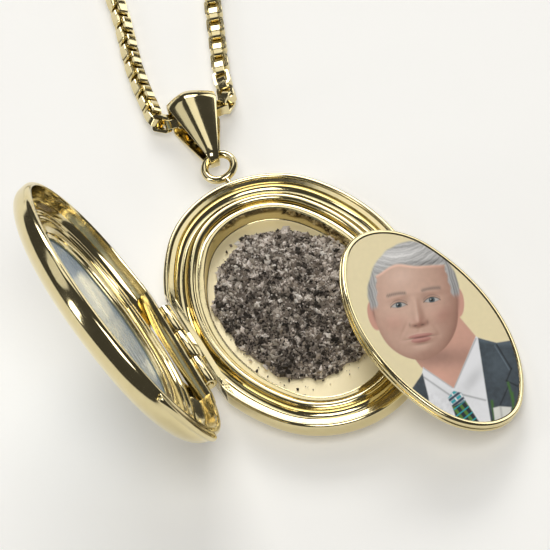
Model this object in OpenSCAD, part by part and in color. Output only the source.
// Keepsake urn pendant, lying on its back with the lid open and its cover plate loose beside it.
// X runs to the free side, Y toward the bail, Z up out of the rim. All sizes are in millimetres.

/* [Locket] */
// Length of the oval from the bail end to the foot
locket_l = 26; // [24:0.5:29]
// Width of the oval across the hinge
locket_w = 19.6; // [18.6:0.2:22]
// Height of the back half from its flat back to the rim
half_h = 2.8; // [2.6:0.05:3.4]
// Height of the lid from its rim to its flat front
lid_h = 2.8; // [2.6:0.05:3.4]
// Height of the straight wall next to the rim of each half
wall_h = 0.9; // [0.7:0.05:1.1]
// Distance from the wall in to the flat of the back and of the front
dome_inset = 3.4; // [3:0.1:3.8]
// Gap between the two rims when the lid is shut
rim_gap = 0.06; // [0.04:0.01:0.12]

/* [Rim and well] */
// Width of the flat outer lip
lip_w = 0.45; // [0.35:0.05:0.55]
// Drop from the lip to the ledge beside it
lip_drop = 0.2; // [0.15:0.05:0.3]
// Width of that ledge
ledge_w = 0.35; // [0.25:0.05:0.45]
// Width of the hollow channel round the rim
channel_w = 1.1; // [0.9:0.05:1.2]
// Depth of the channel below the ledge
channel_d = 0.6; // [0.4:0.05:0.7]
// Width of the round bead inside the channel
bead_w = 0.6; // [0.5:0.05:0.7]
// Height of the bead from its foot
bead_h = 0.2; // [0.15:0.01:0.25]
// Depth of the narrow groove inside the bead
groove_d = 0.6; // [0.5:0.05:0.7]
// Width of the narrow groove
groove_w = 0.2; // [0.15:0.01:0.25]
// Width of the seat on which the cover plate would sit
seat_w = 0.5; // [0.45:0.05:0.6]
// Drop from the lip to that seat
seat_drop = 0.45; // [0.4:0.05:0.6]
// Thickness of the floor of the well
floor_t = 0.9; // [0.7:0.05:1]

/* [Hinge] */
// Distance of the hinge line in from the widest point of the oval
hinge_in = 0.3; // [0.2:0.05:0.4]
// Outer radius of the knuckles
knuckle_r = 0.55; // [0.5:0.01:0.6]
// Length of all three knuckles together
knuckle_l = 8.4; // [7.6:0.2:9]
// Gap between one knuckle and the next
knuckle_gap = 0.1; // [0.08:0.01:0.15]
// Radius of the hinge pin
pin_r = 0.25; // [0.2:0.01:0.28]
// Running clearance of the pin in its bores
pin_clear = 0.03; // [0.02:0.01:0.05]
// Room left behind the knuckles for them to turn
knuckle_room = 0.2; // [0.15:0.01:0.25]
// Height of the straight bar behind the hinge
bar_h = 1.2; // [1:0.05:1.3]
// Angle of the lid from shut
lid_open = 117; // [100:1:125]
// How far the thumb lip stands out
thumb_w = 0.6; // [0.4:0.05:0.8]
// Height of the thumb lip
thumb_h = 0.55; // [0.35:0.05:0.6]
// Arc that the thumb lip covers round the foot of the lid, in degrees
thumb_arc = 56; // [40:1:60]

/* [Window] */
// Thickness of the wall of the lid
lid_wall = 0.55; // [0.45:0.05:0.6]
// Thickness of the flat front of the lid
lid_roof_t = 0.4; // [0.35:0.01:0.45]
// Distance from the wall in to the edge of the opening
window_in = 4.1; // [4:0.05:4.4]
// Distance from the inside of the lid's wall to the frame
frame_out = 1.1; // [1.1:0.05:1.3]
// Height of the frame
frame_h = 0.75; // [0.6:0.05:0.8]
// Width of the foot of the frame
frame_foot = 0.5; // [0.4:0.05:0.6]
// How far the frame's lip reaches in past the edge of the opening
frame_lip = 0.2; // [0.15:0.01:0.25]
// How far the pane reaches out past the edge of the opening
pane_rest = 0.6; // [0.4:0.05:0.7]
// Thickness of the clear pane
pane_t = 0.3; // [0.2:0.05:0.35]
// Gap between pieces that are fixed to each other
fit_gap = 0.05; // [0.03:0.01:0.08]

/* [Cover plate] */
// How much smaller than the locket the plate is, measured in from the wall
plate_in = 2.95; // [2.9:0.01:3.1]
// Thickness of the plate
plate_t = 0.75; // [0.6:0.05:0.8]
// Depth of the groove round the plate's edge
plate_groove = 0.12; // [0.08:0.01:0.15]
// Lean of the plate toward the free side
plate_lean = 29; // [27:0.5:31]
// Distance from the line where the plate's underside would meet the surface in to its middle
plate_run = 7.25; // [7.1:0.01:7.25]
// Distance of the plate's middle up from the foot of the locket
plate_up = 4.15; // [4:0.05:4.3]
// How far the middle of the plate's face stands above where a level plate would rest
plate_lift = 0.2; // [0.2:0.01:0.3]

/* [Ash] */
// Height of the ash over the floor of the well
heap_h = 1.05; // [0.8:0.05:1.2]
// Least distance from the ash to the wall of the well
heap_side = 0.2; // [0.15:0.05:0.4]
// Gap under the ash
heap_gap = 0.02; // [0.02:0.01:0.04]

/* [Bail and hanging ring] */
// Radius of the hanging ring to the middle of its wire
ring_r = 1.2; // [1.1:0.05:1.35]
// Radius of the ring's wire
ring_wire = 0.24; // [0.2:0.01:0.26]
// Distance of the ring's middle out from the end of the locket
ring_out = 2.1; // [2:0.05:2.2]
// Distance of the ring's middle below the rim
ring_drop = 0.65; // [0.5:0.05:0.8]
// Distance of the ring from the middle line toward the free side
ring_x = 0.6; // [0:0.1:1]
// Length of the bail between its two bends
bail_l = 5; // [4.8:0.1:5.4]
// Width of the bail strip at the top
bail_w = 3.8; // [3.4:0.1:4]
// Thickness of the bail strip
bail_t = 0.3; // [0.25:0.01:0.35]
// Inner radius of the top bend
bail_top_r = 1.2; // [1.15:0.01:1.3]
// Inner radius of the bend at the foot
bail_foot_r = 0.55; // [0.45:0.01:0.6]
// Width of the strip at the foot
bail_foot_w = 0.6; // [0.5:0.05:0.7]

/* [Chain] */
// Width of the box chain across its flats
chain_w = 1.5; // [1.3:0.05:1.5]
// Length of the clasp
clasp_l = 9; // [8:0.5:10]
// Radius of the clasp
clasp_r = 1.5; // [1.4:0.05:1.6]
// Radius of the sockets that take the ends of the chain
socket_r = 1; // [0.95:0.01:1.1]
// Half the thickness of the wall between the two sockets
socket_wall = 0.3; // [0.2:0.05:0.4]

/* [Hidden] */
$fn = 96;

gold = [0.83, 0.71, 0.42];
pale_gold = [0.88, 0.80, 0.58];
ash_grey = [0.55, 0.52, 0.50];
clear_blue = [0.72, 0.80, 0.84, 0.5];

// The oval is four arcs, tangent where they join. Each join lies on a line that climbs 3 for every 4
// along, through the centre of an end arc and the centre of a side arc.
half_l = locket_l / 2;
half_w = locket_w / 2;
end_y = 1.5 * (half_l - half_w);
side_x = 2 * (half_l - half_w);
end_r = half_l - end_y;
side_r = half_w + side_x;
reach = 16;
far_y = end_y + reach * 3 / 4;

rim_z = half_h;
hinge_x = -(half_w - hinge_in);
hinge_z = rim_z + rim_gap / 2;
// The notch stops short of the knuckles by more than they need to turn.
notch_x = hinge_x + knuckle_r + knuckle_room;
over = 0.1;
hair = 0.000001;

// Steps of the rim, each measured in from the wall.
ledge_z = rim_z - lip_drop;
channel_in = lip_w + ledge_w;
bead_in = channel_in + channel_w;
groove_in = bead_in + bead_w;
seat_in = groove_in + groove_w;
well_in = seat_in + seat_w;
seat_z = rim_z - seat_drop;

ring_y = half_l + ring_out;
ring_z = rim_z - ring_drop;
ring_lean = 12;
bail_drop = 7;
bail_turn = 9;

function arc(cx, cz, rx, rz, from, to, n) =
    [for (i = [0:n]) let (t = from + (to - from) * i / n) [cx + rx * cos(t), cz + rz * sin(t)]];

// The field of an end arc and of a side arc, each bounded by the lines of the joins.
module end_field() {
    polygon([[0, end_y], [reach, far_y], [-reach, far_y]]);
}

module side_field() {
    polygon([[0, end_y], [reach, far_y], [reach, -far_y], [0, -end_y]]);
}

// The place on the oval d outside the wall line where it faces the angle a.
function oval_pt(a, d) = abs(sin(a)) < 3 / 5
    ? [(side_r + d) * cos(a) - side_x * sign(cos(a)), (side_r + d) * sin(a)]
    : [(end_r + d) * cos(a), (end_r + d) * sin(a) + end_y * sign(sin(a))];

// A many-sided plate a little inside the oval, which ties its four arcs together as one piece.
module core(d) {
    polygon([for (a = [0:12:348]) oval_pt(a, d - over / 2)]);
}

// A flat oval whose edge lies d outside the wall line, or inside it where d is negative.
module oval(d) {
    core(d);
    for (turn = [0, 1]) mirror([0, turn]) mirror([turn, 0]) {
        intersection() {
            translate([0, end_y]) circle(r = end_r + d);
            end_field();
        }
        intersection() {
            translate([-side_x, 0]) circle(r = side_r + d);
            side_field();
        }
    }
}

// A block with one face on the upper right join line: beyond it (1), or on the side arc's side (0).
module block(beyond, lift = 0) {
    translate([0, end_y + lift, -half_h])
        multmatrix([[4 / 5, -3 / 5, 0, 0], [3 / 5, 4 / 5, 0, 0], [0, 0, 1, 0], [0, 0, 0, 1]])
            translate([-2 * reach, (beyond - 1) * 2 * reach, 0]) cube([4 * reach, 2 * reach, 4 * half_h]);
}

// The section given as a child, drawn from the wall line, swept round the oval. The side arcs run
// past the joins by a hair, so that no seam is left open.
module round_oval() {
    for (turn = [0, 1]) mirror([0, turn, 0]) mirror([turn, 0, 0]) {
        difference() {
            translate([0, end_y, 0]) rotate_extrude() translate([end_r, 0]) children();
            for (side = [0, 1]) mirror([side, 0, 0]) block(0);
        }
        difference() {
            translate([-side_x, 0, 0]) rotate_extrude() translate([side_r, 0]) children();
            for (side = [0, 1]) mirror([0, side, 0]) block(1, hair);
        }
    }
}

// A flat ring inside the metal of a swept section, which ties its four arcs together.
module core_ring(from, to, h) {
    linear_extrude(h) difference() {
        core(from);
        core(to);
    }
}

module notch() {
    translate([-2 * half_w, -half_l, -half_h]) cube([2 * half_w + notch_x, locket_l, 4 * half_h]);
}

// A straight bar behind the hinge, which closes the rim where the notch cuts it.
module hinge_bar(z, h) {
    intersection() {
        translate([0, 0, z]) linear_extrude(h) oval(-over);
        translate([notch_x, -half_l, z]) cube([lid_wall, locket_l, h]);
    }
}

knuckle_part = (knuckle_l - 2 * knuckle_gap) / 3;

module knuckle(y) {
    translate([hinge_x, y, hinge_z]) rotate([-90, 0, 0]) cylinder(r = knuckle_r, h = knuckle_part);
}

module pin_bore() {
    translate([hinge_x, -knuckle_l, hinge_z]) rotate([-90, 0, 0])
        cylinder(r = pin_r + pin_clear, h = 2 * knuckle_l);
}

module body_section() {
    dome_z = rim_z - wall_h;
    polygon(concat(
        arc(-dome_inset, dome_z, dome_inset, dome_z, -90, 0, 10),
        [[0, rim_z], [-lip_w, rim_z], [-lip_w, ledge_z]],
        arc(-channel_in - channel_w / 2, ledge_z, channel_w / 2, -channel_d, 0, 180, 8),
        arc(-bead_in - bead_w / 2, ledge_z - bead_h / 2, bead_w / 2, bead_h, 0, 180, 6),
        [[-groove_in, rim_z - groove_d], [-seat_in, rim_z - groove_d], [-seat_in, seat_z],
         [-well_in, seat_z], [-well_in, floor_t], [-dome_inset - 2 * over, floor_t],
         [-dome_inset - 2 * over, 0]]));
}

module locket_body() {
    color(gold) difference() {
        union() {
            difference() {
                union() {
                    round_oval() body_section();
                    linear_extrude(floor_t) oval(-dome_inset);
                    hinge_bar(rim_z - bar_h, bar_h - lip_drop);
                }
                notch();
            }
            knuckle(-knuckle_part / 2);
            translate([hinge_x, -knuckle_part / 2, rim_z - bar_h])
                cube([notch_x - hinge_x + over, knuckle_part, bar_h - over]);
            translate([ring_x, ring_y, ring_z]) rotate([0, -ring_lean, 0])
                rotate_extrude() translate([ring_r, 0]) circle(r = ring_wire);
            translate([ring_x, half_l - lip_w, ring_z]) rotate([-90, 0, 0])
                cylinder(r = ring_wire * 0.9, h = ring_y - ring_r - half_l + lip_w);
        }
        pin_bore();
    }
}

// The lid and what it holds are drawn shut and then swung open about the hinge line.
module on_lid() {
    translate([hinge_x, 0, hinge_z]) rotate([0, -lid_open, 0])
        translate([-hinge_x, 0, -hinge_z]) children();
}

lid_z = rim_z + rim_gap;
roof_z = lid_z + lid_h;

module lid_section() {
    in_z = roof_z - lid_roof_t;
    polygon(concat(
        [[0, lid_z]],
        arc(-dome_inset, lid_z + wall_h, dome_inset, lid_h - wall_h, 0, 90, 10),
        [[-window_in, roof_z], [-window_in, in_z]],
        arc(-dome_inset, lid_z + wall_h, dome_inset - lid_wall, lid_h - wall_h - lid_roof_t, 90, 0, 10),
        [[-lid_wall, lid_z]]));
}

module locket_lid() {
    color(gold) on_lid() difference() {
        union() {
            difference() {
                union() {
                    round_oval() lid_section();
                    translate([0, 0, roof_z - lid_roof_t * 3 / 4])
                        core_ring(-dome_inset, -window_in + 2 * over, lid_roof_t / 2);
                    hinge_bar(lid_z, bar_h);
                }
                notch();
            }
            for (y = [-knuckle_l / 2, knuckle_l / 2 - knuckle_part]) {
                knuckle(y);
                translate([hinge_x, y, lid_z + over])
                    cube([notch_x - hinge_x + over, knuckle_part, bar_h - 2 * over]);
            }
            translate([0, -end_y, lid_z + over]) rotate([0, 0, -113])
                rotate_extrude(angle = thumb_arc) translate([end_r - over, 0])
                    square([thumb_w + over, thumb_h]);
        }
        pin_bore();
    }
}

pane_z = roof_z - lid_roof_t - fit_gap - pane_t;
frame_in = lid_wall + frame_out;
frame_top = pane_z - fit_gap;

module frame_section() {
    step_in = window_in - frame_lip * 3 / 4;
    polygon([[-frame_in, frame_top], [-window_in - frame_lip, frame_top],
        [-window_in - frame_lip, frame_top - frame_h / 5], [-step_in, frame_top - frame_h / 3],
        [-step_in, frame_top - frame_h * 0.53], [-frame_in - frame_foot, frame_top - frame_h],
        [-frame_in, frame_top - frame_h]]);
}

module window_frame() {
    color(pale_gold) on_lid() {
        round_oval() frame_section();
        translate([0, 0, frame_top - frame_h / 6]) core_ring(-frame_in - over, -window_in, frame_h / 8);
    }
}

module window_pane() {
    color(clear_blue) on_lid() translate([0, 0, pane_z]) linear_extrude(pane_t) oval(-window_in + pane_rest);
}

module hinge_pin() {
    color(gold) translate([hinge_x, -knuckle_l / 2 - over, hinge_z]) rotate([-90, 0, 0])
        cylinder(r = pin_r, h = knuckle_l + 2 * over);
}

// The plate leans on the rim of the body with its far edge on the surface.
plate_x = half_w + half_h / tan(plate_lean) - plate_run;
plate_z = (half_w - plate_in) * sin(plate_lean) + plate_t * cos(plate_lean) + plate_lift;

module cover_plate() {
    color(pale_gold) translate([plate_x, plate_up - half_l, plate_z])
        rotate([5, plate_lean, 0]) rotate([0, 0, 2]) translate([0, 0, -plate_t]) {
            linear_extrude(plate_t * 0.35) oval(-plate_in);
            linear_extrude(plate_t * 0.6) oval(-plate_in - plate_groove);
            translate([0, 0, plate_t * 0.45]) linear_extrude(plate_t * 0.55) oval(-plate_in);
        }
}

// A low mound of ash, as closed rings of points that rise toward the middle.
heap_n = 48;
heap_rows = 6;
function heap_reach(a) =
    0.9 + 0.04 * sin(3 * a + 40) + 0.03 * sin(5 * a) - 0.08 * exp(-pow((a - 250) / 40, 2));
function heap_pt(a, s) = let (r = heap_reach(a) * s)
    [(half_w - well_in - heap_side) * r * cos(a), (half_l - well_in - heap_side) * r * sin(a) + heap_side,
     floor_t + heap_gap + heap_h * (1 - pow(s, 3) + 0.057 * sin(4 * a) * s * (1 - s))];

module ash_heap() {
    pts = concat(
        [for (j = [0:heap_rows - 1], i = [0:heap_n - 1]) heap_pt(i * 360 / heap_n, 1 - j / heap_rows)],
        [heap_pt(0, 0), [0, heap_side, floor_t + heap_gap]]);
    tip = heap_n * heap_rows;
    faces = concat(
        [for (j = [0:heap_rows - 2], i = [0:heap_n - 1]) let (k = (i + 1) % heap_n)
            [j * heap_n + i, (j + 1) * heap_n + i, (j + 1) * heap_n + k, j * heap_n + k]],
        [for (i = [0:heap_n - 1]) let (k = (i + 1) % heap_n) [tip - heap_n + i, tip, tip - heap_n + k]],
        [for (i = [0:heap_n - 1]) let (k = (i + 1) % heap_n) [i, k, tip + 1]]);
    color(ash_grey) polyhedron(points = pts, faces = faces);
}

// A drop outline: a wide bend at the top, a narrow one at the foot and straight sides between.
module drop(foot, top) {
    lean = asin((top - foot) / bail_l);
    circle(r = foot);
    translate([0, bail_l]) circle(r = top);
    polygon([[foot * cos(lean), -foot * sin(lean)], [top * cos(lean), bail_l - top * sin(lean)],
        [-top * cos(lean), bail_l - top * sin(lean)], [-foot * cos(lean), -foot * sin(lean)]]);
}

module bail() {
    foot = bail_foot_r + bail_t;
    tip = bail_top_r + bail_t;
    color(gold) translate([ring_x, ring_y + ring_r, ring_z])
        rotate([-bail_drop, 0, -bail_turn]) rotate([0, 90, 0]) intersection() {
            translate([0, 0, -bail_w / 2]) linear_extrude(bail_w) difference() {
                drop(foot, tip);
                drop(bail_foot_r, bail_top_r);
            }
            translate([2 * tip, 0, 0]) rotate([0, -90, 0]) linear_extrude(4 * tip)
                polygon([[-bail_foot_w / 2, -foot - over], [bail_foot_w / 2, -foot - over],
                    [bail_w / 2, bail_l], [bail_w / 2, bail_l + tip + over],
                    [-bail_w / 2, bail_l + tip + over], [-bail_w / 2, bail_l]]);
        }
}

// The chain's way round, by hand: through the bail, out along the surface and back to the clasp.
half_c = chain_w / 2;
left_way = [[22, 208, 1.5], [18, 208, 1.5], [16, 207.6, 1.2], [13, 206.5, 0.75], [5, 203, 0.75],
    [-4, 197.5, 0.75], [-12, 191, 0.75], [-19, 183, 0.75], [-25, 173.5, 0.75], [-29.5, 163, 0.75],
    [-32.5, 151.5, 0.75], [-33.5, 140, 0.75], [-33, 128, 0.75], [-31, 116.5, 0.75], [-27.5, 105, 0.75],
    [-23, 94, 0.75], [-17.5, 83.5, 0.75], [-12, 74, 0.75], [-6.5, 64.5, 0.75], [-2, 56, 0.75],
    [0.6, 48, 0.75], [1.6, 42, 0.75], [1.5, 38, 0.75], [0.8, 34, 0.75], [0, 30.9, 0.75],
    [-0.5, 28.9, 0.75], [-0.8, 27.3, 0.75], [-1, 26, 0.75], [-1.12, 24.9, 0.8], [-1.25, 24.1, 0.92],
    [-1.34, 23.45, 1.05], [-1.39, 22.9, 1.15], [-1.4, 22.62, 1.2], [-1.33, 22.34, 1.25],
    [-1.2, 22.09, 1.3], [-1, 21.88, 1.35], [-0.75, 21.73, 1.39], [-0.48, 21.65, 1.42],
    [0.41, 21.51, 1.45], [1.4, 21.35, 1.45]];
right_way = [[2.39, 21.19, 1.45], [3.28, 21.05, 1.42], [3.56, 21.05, 1.39], [3.84, 21.11, 1.35],
    [4.1, 21.25, 1.3], [4.3, 21.45, 1.25], [4.45, 21.69, 1.2], [4.54, 21.97, 1.15], [4.7, 22.55, 1.05],
    [4.87, 23.2, 0.92], [5.1, 24, 0.8], [5.45, 25, 0.75], [5.9, 26.2, 0.75], [6.4, 27.5, 0.75],
    [7, 29.1, 0.75], [7.6, 30.7, 0.75], [8.3, 32.4, 0.75], [10.5, 36, 0.75], [14, 41, 0.75], [19, 47.5, 0.75], [26, 55, 0.75], [34, 63, 0.75],
    [43, 72, 0.75], [52, 81.5, 0.75], [60, 91.5, 0.75], [67, 102.5, 0.75], [72, 114, 0.75],
    [75, 126, 0.75], [76, 138, 0.75], [75, 150, 0.75], [72, 161.5, 0.75], [67.5, 172, 0.75],
    [61, 182, 0.75], [53.5, 190.5, 0.75], [45.5, 197.5, 0.75], [38, 203, 0.75], [33, 206.5, 0.75],
    [30, 207.6, 1.2], [28, 208, 1.5], [24, 208, 1.5]];
way = concat(left_way, right_way);
chain_sides = 8;
way_n = len(way);

function unit(v) = v / norm(v);
function heading(i) = unit(way[min(i + 1, way_n - 1)] - way[max(i - 1, 0)]);
function chain_ring(i) = let (t = heading(i), s = unit(cross(t, [0, 0, 1])), u = cross(s, t),
        r = half_c / cos(180 / chain_sides))
    [for (k = [0:chain_sides - 1]) let (a = (k + 0.5) * 360 / chain_sides)
        way[i] + r * cos(a) * s + r * sin(a) * u];

module chain() {
    pts = [for (i = [0:way_n - 1], p = chain_ring(i)) p];
    sides = [for (b = [0:chain_sides:(way_n - 2) * chain_sides], k = [0:chain_sides - 1])
        let (m = (k + 1) % chain_sides) [b + k, b + m, b + chain_sides + m, b + chain_sides + k]];
    first = [for (k = [chain_sides - 1:-1:0]) k];
    last = [for (k = [0:chain_sides - 1]) (way_n - 1) * chain_sides + k];
    color(gold) polyhedron(points = pts, faces = concat(sides, [first, last]));
}

module clasp() {
    mid = (way[0] + way[way_n - 1]) / 2;
    color(gold) translate([mid[0] - clasp_l / 2, mid[1], clasp_r]) rotate([0, 90, 0]) difference() {
        cylinder(r = clasp_r, h = clasp_l);
        translate([0, 0, -over]) cylinder(r = socket_r, h = clasp_l / 2 - socket_wall + over);
        translate([0, 0, clasp_l / 2 + socket_wall]) cylinder(r = socket_r, h = clasp_l / 2);
    }
}

locket_body();
ash_heap();
locket_lid();
window_frame();
window_pane();
cover_plate();
hinge_pin();
bail();
chain();
clasp();
